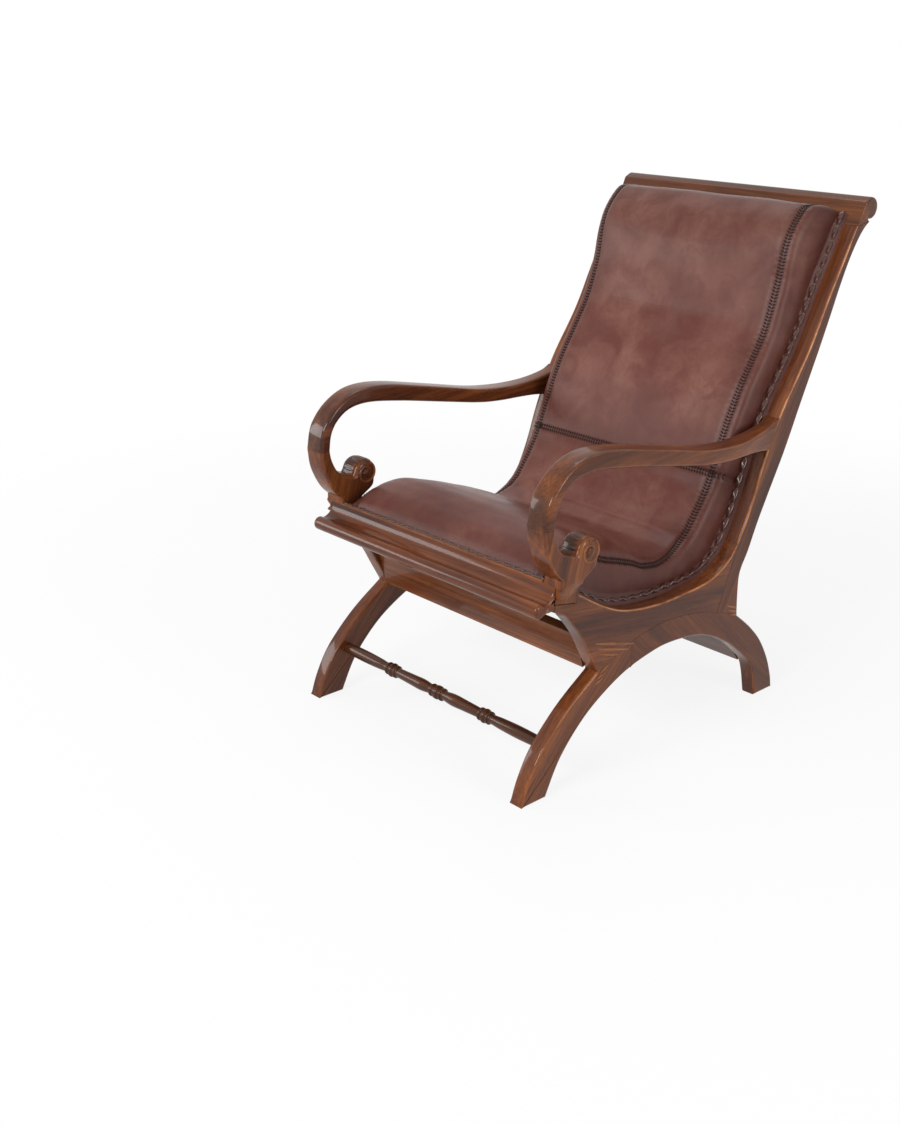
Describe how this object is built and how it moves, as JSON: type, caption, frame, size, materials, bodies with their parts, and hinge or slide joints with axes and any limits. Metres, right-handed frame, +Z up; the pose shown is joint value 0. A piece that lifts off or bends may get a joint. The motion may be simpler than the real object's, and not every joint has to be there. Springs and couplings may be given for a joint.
{
  "type": "planters chair",
  "caption": "Low reclining armchair with arched sawn legs, scrolled arms, a moulded front rail and one padded leather sling over seat and back.",
  "frame": {"origin": "on the floor under the middle of the chair's overall box", "axes": "+Z up, +X towards the sitter's left, the sitter faces -Y"},
  "size_m": [0.66, 0.958, 1.0028],
  "materials": {
    "wood": "polished hardwood",
    "dark_wood": "plain hardwood",
    "leather": "waxed and hand-rubbed, darker at the edges",
    "braid": "dark twisted strip",
    "foam": "open foam",
    "webbing": "woven jute",
    "lining": "plain dark cloth"
  },
  "bodies": {
    "root": {"front_leg_left": "wood", "rear_leg_left": "wood", "seat_rail_left": "wood", "back_stile_left": "wood", "armrest_left": "wood", "arm_scroll_left": "wood", "front_leg_right": "wood", "rear_leg_right": "wood", "seat_rail_right": "wood", "back_stile_right": "wood", "armrest_right": "wood", "arm_scroll_right": "wood", "front_leg_dowel_left": "dark_wood", "front_leg_dowel_right": "dark_wood", "rear_leg_dowel_left": "dark_wood", "rear_leg_dowel_right": "dark_wood", "crest_dowel_left": "dark_wood", "crest_dowel_right": "dark_wood", "front_rail_dowel_left": "dark_wood", "front_rail_dowel_right": "dark_wood", "arm_dowel_left": "dark_wood", "arm_dowel_right": "dark_wood", "scroll_dowel_left": "dark_wood", "scroll_dowel_right": "dark_wood", "nailing_cleat_left": "dark_wood", "nailing_cleat_right": "dark_wood", "front_rail": "wood", "crest_rail": "wood", "front_board": "wood", "rear_board": "wood", "turned_stretcher": "wood", "foam_pad": "foam", "seat_panel": "leather", "back_panel": "leather", "lower_border_left": "leather", "lower_border_right": "leather", "upper_border_left": "leather", "upper_border_right": "leather", "webbing_strap_1": "webbing", "webbing_strap_2": "webbing", "webbing_strap_3": "webbing", "webbing_strap_4": "webbing", "webbing_strap_5": "webbing", "webbing_strap_6": "webbing", "webbing_strap_7": "webbing", "webbing_strap_8": "webbing", "webbing_strap_9": "webbing", "braid_left": "braid", "braid_right": "braid", "front_braid": "braid", "back_lining": "lining"}
  },
  "joints": []
}
